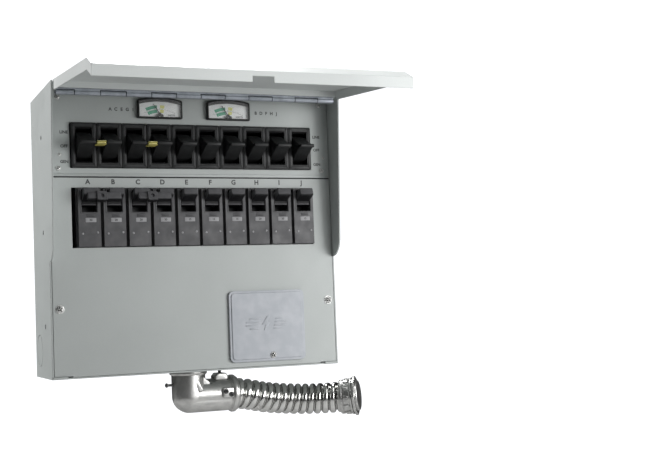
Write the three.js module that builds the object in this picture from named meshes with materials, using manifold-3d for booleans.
// Manual transfer switch: a wall cabinet of folded sheet steel with a hinged lid, ten three-position
// switches, ten plug-in breakers, two watt meters, a covered power inlet and a conduit tail.
// Millimetres. +Z is up, +Y goes into the wall, and the origin is the centre of the back face.
import * as THREE from 'three';
import { mergeVertices } from 'three/addons/utils/BufferGeometryUtils.js';
import Module from 'manifold-3d';

const wasm = await Module();
wasm.setup();

// ---- Driving dimensions ----
const WIDTH = 300;                // outside of the side walls
const HEIGHT = 287;               // outside of the top and bottom panels
const DEPTH = 94;                 // back face to the front of the covers
const SHEET = 1.5;                // folded steel
const THIN = 1.2;                 // lid steel
const GAP = 0.3;                  // clearance between neighbours that rest on each other
const EAR_TOP = 31.5;             // how far the side walls stand in front of the covers, at the top
const EAR_LOW = 20;               // and above their rounded lower end
const EAR_END = -29.3;            // height at which the side walls are flush with the cover again

const AXIS_Y = -(DEPTH + 25.5);   // lid hinge axis
const AXIS_Z = 133.2;
const LID_OPEN = 4.6;             // degrees below level at which the lid stands open
const LID_WIDTH = 295.2;
const LID_FLAT = 165;             // hinge axis to the bend of the sloping front facet
const LID_FACET = { run: 17, drop: 7 };
const LID_TOP = 11.5;             // top of the plate above the hinge axis
const LID_FLANGE = 10.2;
const NOTCH = { width: 20, height: 5.4, centre: 2 };

const KNUCKLE = { radius: 2.5, pin: 1.15, pitch: 25.4, gap: 0.8, leaf: 1 };
const BANK = { count: 10, pitch: 25.4 };
const SWITCH_OPENING = { x: 127.75, low: 63, high: 108.3 };
const BREAKER_OPENING = { x: 127.5, low: -16, high: 43.5 };
const SPLIT = { low: 55.7, high: 57.3 };

const SWITCH = { width: 24.9, height: 44.7, proud: 3, deep: 36, window: 16.4, wide: 16.6, z: 85.65 };
const LEVER = { width: 15, reach: 36, tip: 1.7, hub: 12.4, shoulder: 9.5, pivot: 10, trunnion: 2 };
const LEVER_TIE = { width: 9.8, height: 5.4, back: 24, front: 37.2 };

const BREAKER = { first: -110.6, pitch: 25.2, width: 24.8, face: 22, proud: 3, deep: 56 };
const BREAKER_Z = { low: -22, high: 53, faceLow: -15.2, faceHigh: 42.6 };
const RECESS = { width: 15.4, low: 19, high: 41.4, deep: 16 };
const HANDLE = { width: 14.2, pivotY: 8, pivotZ: 30.4, reach: 23.5, thick: 8.4, on: 21, tie: -4.2 };

const METER = { x: 36.3, z: 123, width: 46.5, side: 18.6, arch: 3.2, proud: 4.5, frame: 3.2 };
const INLET = { x: 71.2, z: -100, radius: 28, hole: 29, cup: 14, deep: 42 };
const PLATE = { width: 82.4, height: 73, thick: 2.4, corner: 5 };
const SCREW = { x: 141.2, z: -75.6, radius: 4 };

const TAIL_Y = -42;               // depth of the conduit line in front of the wall
const ELBOW = { radius: 18.2, drop: -171, hub: 17, end: 52, collar: 19.7, nipple: 16.4 };
const CONDUIT = { radius: 16, seat: 4.6 };
const CONDUIT_ROUTE = [
  [49.6, -42, -171.4], [60, -42, -172.6], [85, -42, -177.8],
  [107, -43, -180.6], [128, -47, -182.2], [148, -54.5, -182.4], [165, -64, -181.6],
];

const LETTERS = [...'abcdefghij'];

// ---- Finishes ----
const finish = (color, roughness, metalness) => (
  new THREE.MeshStandardMaterial({ color, roughness, metalness })
);
const FINISH = {
  paint: finish(0xb4b8b6, 0.5, 0.2),
  zinc: finish(0xb9bbbd, 0.35, 0.9),
  black: finish(0x1c1d1e, 0.5, 0),
  moulding: finish(0x4a4b4c, 0.55, 0),
  handle: finish(0x242526, 0.5, 0),
  tie: finish(0xcfc466, 0.5, 0),
  plate: finish(0xb3b7bf, 0.45, 0),
  brass: finish(0xb59a55, 0.35, 0.9),
};

// ---- Joining and cutting ----
function solid(geometry) {
  const bare = geometry.clone();
  bare.deleteAttribute('normal');
  bare.deleteAttribute('uv');
  const merged = mergeVertices(bare, 1e-4);
  return new wasm.Manifold(new wasm.Mesh({
    numProp: 3,
    vertProperties: new Float32Array(merged.attributes.position.array),
    triVerts: new Uint32Array(merged.index.array),
  }));
}

function shapeOf(body) {
  const mesh = body.getMesh();
  const geometry = new THREE.BufferGeometry();
  geometry.setAttribute('position', new THREE.BufferAttribute(new Float32Array(mesh.vertProperties), 3));
  geometry.setIndex(new THREE.BufferAttribute(new Uint32Array(mesh.triVerts), 1));
  geometry.computeVertexNormals();
  return geometry;
}

const join = (...bodies) => bodies.reduce((sum, body) => sum.add(body));
const cut = (body, ...tools) => tools.reduce((rest, tool) => rest.subtract(tool), body);

// ---- Basic solids, each between stated limits ----
function block([x0, x1], [y0, y1], [z0, z1]) {
  const geometry = new THREE.BoxGeometry(x1 - x0, y1 - y0, z1 - z0);
  geometry.translate((x0 + x1) / 2, (y0 + y1) / 2, (z0 + z1) / 2);
  return solid(geometry);
}

const BASIS = {
  x: [new THREE.Vector3(0, 1, 0), new THREE.Vector3(0, 0, 1), new THREE.Vector3(1, 0, 0)],
  front: [new THREE.Vector3(1, 0, 0), new THREE.Vector3(0, 0, 1), new THREE.Vector3(0, -1, 0)],
};

// A flat outline carried along X from x0 to x1; the outline is drawn in (y, z).
function prismX(outline, x0, x1, curveSegments = 10) {
  const geometry = new THREE.ExtrudeGeometry(outline, { depth: x1 - x0, bevelEnabled: false, curveSegments });
  geometry.applyMatrix4(new THREE.Matrix4().makeBasis(...BASIS.x));
  geometry.translate(x0, 0, 0);
  return solid(geometry);
}

// A flat outline drawn in (x, z) and carried forwards, towards -Y, from y = back by depth.
function prismFront(outline, back, depth, curveSegments = 10) {
  const geometry = new THREE.ExtrudeGeometry(outline, { depth, bevelEnabled: false, curveSegments });
  geometry.applyMatrix4(new THREE.Matrix4().makeBasis(...BASIS.front));
  geometry.translate(0, back, 0);
  return solid(geometry);
}

function polygon(points) {
  return new THREE.Shape(points.map(([u, v]) => new THREE.Vector2(u, v)));
}

function roundedRect(width, height, radius) {
  const [w, h] = [width / 2 - radius, height / 2 - radius];
  const outline = new THREE.Shape();
  outline.absarc(w, h, radius, 0, Math.PI / 2);
  outline.absarc(-w, h, radius, Math.PI / 2, Math.PI);
  outline.absarc(-w, -h, radius, Math.PI, 1.5 * Math.PI);
  outline.absarc(w, -h, radius, 1.5 * Math.PI, 2 * Math.PI);
  outline.closePath();
  return outline;
}

const TURN = { x: [0, 0, Math.PI / 2], y: [0, 0, 0], z: [Math.PI / 2, 0, 0] };

// A cylinder along an axis, centred on a point.
function cylinder(axis, radius, length, [x, y, z], sides = 24) {
  const geometry = new THREE.CylinderGeometry(radius, radius, length, sides);
  geometry.rotateX(TURN[axis][0]).rotateZ(TURN[axis][2]);
  geometry.translate(x, y, z);
  return solid(geometry);
}

// A turned solid about the Y axis from a profile of (radius, y), drawn from low y to high y.
function turned(profile, sides) {
  return solid(new THREE.LatheGeometry(profile.map(([r, y]) => new THREE.Vector2(r, y)), sides));
}

// ---- Scene graph ----
const object = new THREE.Group();

function piece(name, body, material, parent = object, place = [0, 0, 0]) {
  const mesh = new THREE.Mesh(shapeOf(body), material);
  mesh.name = name;
  mesh.position.set(...place);
  parent.add(mesh);
  return mesh;
}

const bankX = (index) => (index - (BANK.count - 1) / 2) * BANK.pitch;
const breakerX = (index) => BREAKER.first + index * BREAKER.pitch;
const half = { x: WIDTH / 2, z: HEIGHT / 2 };
const inside = { x: half.x - SHEET, z: half.z - SHEET };

// ---- Cabinet ----
function sideWallOutline() {
  const outline = new THREE.Shape();
  outline.moveTo(0, -half.z);
  outline.lineTo(-DEPTH, -half.z);
  outline.lineTo(-DEPTH, EAR_END);
  outline.absarc(-DEPTH, EAR_END + EAR_LOW, EAR_LOW, 1.5 * Math.PI, Math.PI, true);
  outline.lineTo(-DEPTH - EAR_TOP, half.z);
  outline.lineTo(0, half.z);
  outline.closePath();
  return outline;
}

function keyhole(x, z) {
  const slot = block([x - 2.4, x + 2.4], [-3, 1], [z, z + 9]);
  return join(cylinder('y', 4.6, 4, [x, -1, z], 12), slot, cylinder('y', 2.4, 4, [x, -1, z + 9], 8));
}

// The scored ring of a knock-out and the small dimples of the spot welds, on a side wall.
function sideWallMarks(side) {
  const face = side * half.x;
  const knockout = { y: -25, z: -116.5, radius: 16.5, score: 1, depth: 0.6 };
  const ring = cut(
    cylinder('x', knockout.radius, 2 * knockout.depth, [face, knockout.y, knockout.z], 20),
    cylinder('x', knockout.radius - knockout.score, 4, [face, knockout.y, knockout.z], 20),
  );
  const dimples = [97, 1.4, -92].map((z) => cylinder('x', 2.6, 1.4, [face, -61.5, z], 8));
  return [ring, ...dimples];
}

// The shell is one folded box: its side outline carried across, less the room inside. The room runs
// out through the front and, ahead of the hinge flange, through the top.
function cabinetRoom(flange) {
  const [past, over] = [-DEPTH - EAR_TOP - 10, half.z + 10];
  return polygon([
    [-SHEET, -inside.z], [past, -inside.z], [past, over], [flange.front, over],
    [flange.front, flange.low], [flange.back, flange.low], [flange.back, inside.z], [-SHEET, inside.z],
  ]);
}

function cabinetShell() {
  const flange = { back: AXIS_Y + 3.4, front: AXIS_Y + 1.9, low: AXIS_Z + 2.8 };
  const box = cut(
    prismX(sideWallOutline(), -half.x, half.x),
    prismX(cabinetRoom(flange), -inside.x, inside.x),
  );
  const returnY = [-DEPTH + SHEET + GAP, -DEPTH + 2 * SHEET + GAP];
  const tab = { from: 135, to: 149.3, low: -half.z + 0.3, high: -half.z + 2.4 };
  const body = join(
    box,
    block([-half.x + 0.7, -138], returnY, [-half.z + 0.7, half.z - 0.7]),
    block([138, half.x - 0.7], returnY, [-half.z + 0.7, half.z - 0.7]),
    block([-139, 139], returnY, [SPLIT.low - 0.4, SPLIT.high + 5]),
    block([-tab.to, -tab.from], [-DEPTH - 1, -DEPTH + SHEET], [tab.low, tab.high]),
    block([tab.from, tab.to], [-DEPTH - 1, -DEPTH + SHEET], [tab.low, tab.high]),
  );
  return cut(
    body,
    keyhole(0, 112), keyhole(-110, -112), keyhole(110, -112),
    cylinder('z', ELBOW.nipple + 0.8, 6, [0, TAIL_Y, -half.z], 20),
    ...sideWallMarks(-1),
    ...sideWallMarks(1),
  );
}

function switchPanel() {
  const plate = block([-inside.x + 0.5, inside.x - 0.5], [-DEPTH, -DEPTH + SHEET],
    [SPLIT.high, inside.z - GAP]);
  const opening = block([-SWITCH_OPENING.x, SWITCH_OPENING.x], [-DEPTH - 1, -DEPTH + 3],
    [SWITCH_OPENING.low, SWITCH_OPENING.high]);
  const meterHole = (x) => block([x - 20.4, x + 20.4], [-DEPTH - 1, -DEPTH + 3], [METER.z - 8.4, METER.z + 8.4]);
  return cut(plate, opening, meterHole(-METER.x), meterHole(METER.x));
}

function lowerCover() {
  const low = -half.z + 2.7;
  const plate = block([-inside.x + 0.5, inside.x - 0.5], [-DEPTH, -DEPTH + SHEET], [low, SPLIT.low]);
  const lip = block([-130, 130], [-DEPTH, -DEPTH + 9], [low - 0.9, low + 0.6]);
  const opening = block([-BREAKER_OPENING.x, BREAKER_OPENING.x], [-DEPTH - 1, -DEPTH + 3],
    [BREAKER_OPENING.low, BREAKER_OPENING.high]);
  return cut(join(plate, lip), opening,
    cylinder('y', INLET.hole, 6, [INLET.x, -DEPTH, INLET.z], 28));
}

// A slotted screw head on the cover's face.
function coverScrew() {
  const head = turned([
    [0, -2.3], [SCREW.radius * 0.7, -2], [SCREW.radius, -1], [SCREW.radius, 0.4], [0, 0.4],
  ], 12);
  return cut(head, block([-4, 4], [-3, -1.3], [-0.5, 0.5]));
}

// ---- Lid, built level about its hinge axis: -Y is its front, +Z its top ----
function lidPan() {
  const facet = LID_FLAT + LID_FACET.run;
  const rim = LID_TOP - LID_FLANGE;
  const bend = LID_TOP - LID_FACET.drop;
  const lipLow = bend - LID_FLANGE;
  const back = -1.9;
  const [w, past] = [LID_WIDTH / 2, lipLow - 10];
  const outer = polygon([
    [back, LID_TOP], [-LID_FLAT, LID_TOP], [-facet, bend], [-facet, lipLow],
    [-LID_FLAT, rim], [-8, rim], [-5, rim + 3], [back, rim + 3],
  ]);
  const tray = polygon([
    [back - THIN, LID_TOP - THIN], [back - THIN, past], [-facet + THIN, past],
    [-facet + THIN, bend - THIN], [-LID_FLAT, LID_TOP - THIN],
  ]);
  const notch = block([NOTCH.centre - NOTCH.width / 2, NOTCH.centre + NOTCH.width / 2],
    [-facet - 1, -facet + THIN + 1], [lipLow - 1, lipLow + NOTCH.height]);
  return cut(prismX(outer, -w, w), prismX(tray, -w + THIN, w - THIN), notch);
}

// One hinge leaf with every second knuckle; sign is -1 for the lid's leaf (in front), +1 for the fixed one.
function hingeLeaf(sign, first) {
  const w = LID_WIDTH / 2 - 3;
  const face = [0.6, 0.6 + KNUCKLE.leaf].map((value) => sign * value).sort((a, b) => a - b);
  const holes = [];
  const parts = [block([-w, w], face, [1.5, 9.4])];
  for (let index = first; index < 12; index += 2) {
    const from = Math.max(-w, (index - 6) * KNUCKLE.pitch + KNUCKLE.gap / 2);
    const to = Math.min(w, (index - 5) * KNUCKLE.pitch - KNUCKLE.gap / 2);
    parts.push(cylinder('x', KNUCKLE.radius, to - from, [(from + to) / 2, 0, 0], 10));
  }
  for (let index = 1 - first; index < 12; index += 2) {
    const middle = (index - 5.5) * KNUCKLE.pitch;
    const reach = KNUCKLE.pitch + KNUCKLE.gap;
    holes.push(block([middle - reach / 2, middle + reach / 2], [-4, 4], [-4, KNUCKLE.radius + 0.3]));
  }
  return cut(join(...parts), ...holes, cylinder('x', KNUCKLE.pin + 0.3, 2 * w + 2, [0, 0, 0], 8));
}

// ---- Switches, each built about the front face of the panel at its own centre ----
function switchBody() {
  const { width, height, proud, deep, window, wide } = SWITCH;
  const bezel = new THREE.Shape(roundedRect(width, height, 1.2).getPoints(2));
  const funnel = polygon([
    [-proud - 0.1, -window - 1.6], [-proud + 1.8, -window], [24, -window],
    [24, window], [-proud + 1.8, window], [-proud - 0.1, window + 1.6],
  ]);
  const terminals = [-15, 0, 15].map((z) => block([-5, 5], [deep - 1, deep + 8], [z - 0.5, z + 0.5]));
  return cut(
    join(prismFront(bezel, deep, deep + proud), ...terminals),
    prismX(funnel, -wide / 2, wide / 2),
    cylinder('x', LEVER.trunnion + 0.25, wide + 4.4, [0, LEVER.pivot, 0], 8),
  );
}

// A wedge lever about its own pivot: round hub inside the body, flanks that narrow to a thin edge.
function switchLever() {
  const { width, reach, tip, hub, shoulder, trunnion } = LEVER;
  const outline = new THREE.Shape();
  outline.moveTo(-reach, -tip);
  outline.lineTo(-reach, tip);
  outline.lineTo(-shoulder, hub);
  outline.absarc(0, 0, Math.hypot(shoulder, hub), Math.PI - Math.atan2(hub, shoulder), Math.PI / 2.6, true);
  outline.lineTo(7, 0);
  outline.absarc(0, 0, Math.hypot(shoulder, hub), -Math.PI / 2.6, Math.atan2(hub, shoulder) - Math.PI, true);
  outline.closePath();
  return join(
    prismX(outline, -width / 2, width / 2, 4),
    cylinder('x', trunnion, SWITCH.wide + 3, [0, 0, 0], 8),
  );
}

function leverTie() {
  const { width, height, back, front } = LEVER_TIE;
  const outline = new THREE.Shape(roundedRect(front - back, height, 1.2).getPoints(3));
  const body = prismX(outline, -width / 2, width / 2);
  return cut(body, block([-width / 2 - 1, width / 2 + 1], [4.6, 9], [-0.9, 0.9]));
}

// ---- Breakers, each built at x = 0 with y = 0 on the front of the cover ----
function breakerBody() {
  const { width, face, proud, deep } = BREAKER;
  const { low, high, faceLow, faceHigh } = BREAKER_Z;
  const back = block([-width / 2, width / 2], [2.2, deep], [low, high]);
  const front = block([-face / 2, face / 2], [-proud, 3], [faceLow, faceHigh]);
  const recess = block([-RECESS.width / 2, RECESS.width / 2], [-proud - 1, RECESS.deep],
    [RECESS.low, RECESS.high]);
  const pivot = cylinder('x', 2.1, RECESS.width + 3, [0, HANDLE.pivotY, HANDLE.pivotZ], 8);
  const hook = block([-width / 2, width / 2], [deep - 8, deep + 1], [low - 1, low + 6]);
  return cut(join(back, front), recess, pivot, hook);
}

// A handle about its pivot, drawn level; the group that holds it turns it to the "on" slope.
function breakerHandle(width) {
  const { reach, thick } = HANDLE;
  const outline = polygon([
    [3.6, -2], [3.6, 2], [0, 6], [-6, 5.6], [-11, thick / 2], [-reach + 1, thick / 2],
    [-reach, thick / 2 - 1.2], [-reach, -thick / 2 + 1.6], [-reach + 1.2, -thick / 2],
    [-11, -thick / 2], [-6, -5.6], [0, -6],
  ]);
  return prismX(outline, -width / 2, width / 2);
}

function tiedHandles() {
  const { reach } = HANDLE;
  const shift = BREAKER.pitch / 2;
  const trunnion = (x) => cylinder('x', 1.8, RECESS.width + 2, [x, 0, 0], 8);
  const handles = [-shift, shift].map((x) => breakerHandle(HANDLE.width).translate([x, 0, 0]));
  const bar = block([-shift - 4, shift + 4], [-reach - 1, -reach + 4.4],
    [HANDLE.tie - 3.6, HANDLE.tie + 3.6]);
  const boss = block([-5, 5], [-reach - 2.4, -reach + 4.4], [HANDLE.tie - 5, HANDLE.tie + 5]);
  return cut(join(...handles, trunnion(-shift), trunnion(shift), bar, boss),
    cylinder('y', 1.5, 9, [0, -reach + 1, HANDLE.tie], 12));
}

function singleHandle() {
  return join(breakerHandle(HANDLE.width), cylinder('x', 1.8, RECESS.width + 2, [0, 0, 0], 8));
}

// ---- Meters ----
// A rectangle whose top edge is an arc, centred on its own middle.
function archedOutline(width, side, arch) {
  const radius = (width * width / 4 + arch * arch) / (2 * arch);
  const swing = Math.asin(width / 2 / radius);
  const top = side / 2;
  const outline = new THREE.Shape();
  outline.moveTo(-width / 2, -top);
  outline.lineTo(width / 2, -top);
  outline.absarc(0, top + arch - radius, radius, Math.PI / 2 - swing, Math.PI / 2 + swing);
  outline.closePath();
  return outline;
}

function meterBody() {
  const { width, side, arch, proud, frame } = METER;
  const bezel = prismFront(archedOutline(width, side, arch), 0, proud, 10);
  const window = archedOutline(width - 2 * frame, side - 2 * frame + 1.4, arch);
  const behind = block([-20, 20], [0, 24], [-8, 8]);
  const studs = [-11, 11].map((x) => cylinder('y', 2, 10, [x, 28, 0], 8));
  return cut(join(bezel, behind, ...studs), prismFront(window, -1.2, proud, 10));
}

function meterPointer() {
  const hub = cylinder('y', 1.3, 0.7, [0, 0, 0], 8);
  return join(hub, block([-0.35, 0.35], [-0.3, 0.3], [-1.6, 12.6]));
}

// ---- Power inlet behind its cover plate ----
function powerInlet() {
  const { radius, cup, deep } = INLET;
  const body = turned([
    [0, cup], [radius - 3, cup], [radius - 3, 1.2], [radius, 1.2], [radius, cup],
    [radius - 2, deep], [0, deep],
  ], 24);
  const blades = [];
  for (let turn = 0; turn < 4; turn += 1) {
    const blade = cut(
      cylinder('y', 17.6, cup - 2, [0, cup / 2 + 1.6, 0], 24),
      cylinder('y', 15.8, cup + 4, [0, cup / 2 + 1, 0], 24),
    );
    const sector = block([11, 20], [0, cup + 4], [-5.5, 5.5]);
    blades.push(blade.intersect(sector).rotate([0, 90 * turn + 45, 0]));
  }
  return join(body, ...blades);
}

function inletCoverPlate() {
  const { width, height, thick, corner } = PLATE;
  const outline = new THREE.Shape(roundedRect(width, height, corner).getPoints(4));
  const inner = new THREE.Shape(roundedRect(width - 5, height - 5, corner - 1.5).getPoints(4));
  const screwHole = cylinder('y', 2.6, 8, [5, 0, -height / 2 + 6], 12);
  const raised = prismFront(inner, 0, thick + 0.8);
  return cut(join(prismFront(outline, 0, thick), raised), screwHole);
}

// ---- Inner rails ----
function breakerRail() {
  const plate = block([-128, 130], [-31, -27], [-4, 34]);
  const feet = [-118, 118].map((x) => block([x - 8, x + 8], [-28, -SHEET - GAP], [4, 26]));
  return join(plate, ...feet);
}

function neutralBar() {
  const bar = block([-112, -32], [-22, -12], [-104, -94]);
  const feet = [-104, -40].map((x) => cylinder('y', 4, 11, [x, -SHEET - GAP - 5.5, -99], 10));
  const holes = [];
  for (let x = -96; x <= -48; x += 12) holes.push(cylinder('z', 2, 12, [x, -17, -99], 8));
  return cut(join(bar, ...feet), ...holes);
}

// ---- Conduit tail ----
function conduitElbow() {
  const { radius, drop, hub, end, collar, nipple } = ELBOW;
  const seat = -half.z - GAP;
  const heel = new THREE.SphereGeometry(radius, 16, 10);
  heel.translate(0, TAIL_Y, drop);
  const strap = { from: 27, to: 42, radius: hub + 1.8 };
  const body = join(
    cylinder('z', nipple, 16, [0, TAIL_Y, seat + 7], 20),
    cylinder('z', radius + 1.4, 4, [0, TAIL_Y, seat - 2], 20),
    cylinder('z', radius, seat - drop, [0, TAIL_Y, (seat + drop) / 2], 16),
    solid(heel),
    cylinder('x', hub, end, [end / 2, TAIL_Y, drop], 20),
    cylinder('x', strap.radius, strap.to - strap.from, [(strap.from + strap.to) / 2, TAIL_Y, drop], 20),
    cylinder('x', collar, 6, [end - 3, TAIL_Y, drop], 20),
    block([30, 40], [TAIL_Y - 6, TAIL_Y + 6], [drop + hub, drop + hub + 5.4]),
    cylinder('x', 4.4, 8, [-radius - 1.4, TAIL_Y, seat - 15], 10),
  );
  return cut(body, cylinder('x', CONDUIT.radius + 1.4, 2 * CONDUIT.seat, [end, TAIL_Y, drop], 20));
}

function conduitPath() {
  return new THREE.CatmullRomCurve3(CONDUIT_ROUTE.map((point) => new THREE.Vector3(...point)));
}

function flexibleConduit() {
  const outline = new THREE.Shape();
  outline.absarc(0, 0, CONDUIT.radius, 0, 2 * Math.PI);
  return solid(new THREE.ExtrudeGeometry(outline, {
    steps: 14, curveSegments: 8, bevelEnabled: false, extrudePath: conduitPath(),
  }));
}

// The straight connector on the conduit's free end: gland body, lock nut and closed shipping cap.
function conduitConnector() {
  const gland = turned([
    [0, 0.4], [18.4, 0.4], [18.4, 11], [19.6, 12], [19.6, 14], [16.2, 15], [16.2, 19], [15, 20.2], [0, 20.2],
  ], 16);
  const nut = new THREE.CylinderGeometry(21.6, 21.6, 3.4, 8);
  nut.translate(0, 16, 0);
  return join(gland, solid(nut));
}

// ---- Assembly ----
piece('cabinet_shell', cabinetShell(), FINISH.paint);
piece('switch_panel', switchPanel(), FINISH.paint);
piece('lower_cover', lowerCover(), FINISH.paint);
piece('cover_screw_left', coverScrew(), FINISH.zinc, object, [-SCREW.x, -DEPTH - 0.7, SCREW.z]);
piece('cover_screw_right', coverScrew(), FINISH.zinc, object, [SCREW.x, -DEPTH - 0.7, SCREW.z]);

const hinge = new THREE.Group();
hinge.position.set(0, AXIS_Y, AXIS_Z);
object.add(hinge);
const lidGroup = new THREE.Group();
lidGroup.rotation.x = THREE.MathUtils.degToRad(LID_OPEN);
hinge.add(lidGroup);
piece('lid', lidPan(), FINISH.paint, lidGroup);
piece('hinge_lid_leaf', hingeLeaf(-1, 1), FINISH.zinc, lidGroup);
piece('hinge_fixed_leaf', hingeLeaf(1, 0), FINISH.zinc, hinge);
piece('hinge_pin', cylinder('x', KNUCKLE.pin, LID_WIDTH - 4, [0, 0, 0], 8), FINISH.zinc, hinge);

LETTERS.forEach((letter, index) => {
  const x = bankX(index);
  piece(`switch_body_${letter}`, switchBody(), FINISH.black, object, [x, -DEPTH, SWITCH.z]);
  piece(`switch_lever_${letter}`, switchLever(), FINISH.black, object, [x, -DEPTH + LEVER.pivot, SWITCH.z]);
});
[['ab', 0], ['cd', 2]].forEach(([pair, index]) => {
  const middle = (bankX(index) + bankX(index + 1)) / 2;
  const reach = (LEVER_TIE.back + LEVER_TIE.front) / 2;
  piece(`lever_tie_${pair}`, leverTie(), FINISH.tie, object,
    [middle, -DEPTH + LEVER.pivot - reach, SWITCH.z]);
});

function handleMount(x) {
  const mount = new THREE.Group();
  mount.position.set(x, -DEPTH + HANDLE.pivotY, HANDLE.pivotZ);
  mount.rotation.x = -THREE.MathUtils.degToRad(HANDLE.on);
  object.add(mount);
  return mount;
}

LETTERS.forEach((letter, index) => {
  piece(`breaker_${letter}`, breakerBody(), FINISH.moulding, object, [breakerX(index), -DEPTH, 0]);
});
[['ab', 0], ['cd', 2]].forEach(([pair, index]) => {
  const middle = (breakerX(index) + breakerX(index + 1)) / 2;
  piece(`breaker_handles_${pair}`, tiedHandles(), FINISH.handle, handleMount(middle));
});
LETTERS.slice(4).forEach((letter, index) => {
  piece(`breaker_handle_${letter}`, singleHandle(), FINISH.handle, handleMount(breakerX(index + 4)));
});

[['left', -METER.x], ['right', METER.x]].forEach(([side, x]) => {
  piece(`meter_${side}`, meterBody(), FINISH.black, object, [x, -DEPTH - GAP, METER.z]);
  const pointer = piece(`meter_pointer_${side}`, meterPointer(), FINISH.handle, object,
    [x, -DEPTH - 2.9, METER.z - 4.6]);
  pointer.rotation.y = -THREE.MathUtils.degToRad(34);
});

piece('power_inlet', powerInlet(), FINISH.black, object, [INLET.x, -DEPTH, INLET.z]);
piece('inlet_cover_plate', inletCoverPlate(), FINISH.plate, object, [INLET.x, -DEPTH - GAP, INLET.z]);
piece('breaker_rail', breakerRail(), FINISH.zinc);
piece('neutral_bar', neutralBar(), FINISH.brass);

piece('conduit_elbow', conduitElbow(), FINISH.zinc);
piece('flexible_conduit', flexibleConduit(), FINISH.zinc);
const connector = piece('conduit_connector', conduitConnector(), FINISH.zinc);
const path = conduitPath();
connector.position.copy(path.getPointAt(1));
connector.quaternion.setFromUnitVectors(new THREE.Vector3(0, 1, 0), path.getTangentAt(1));

export default object;
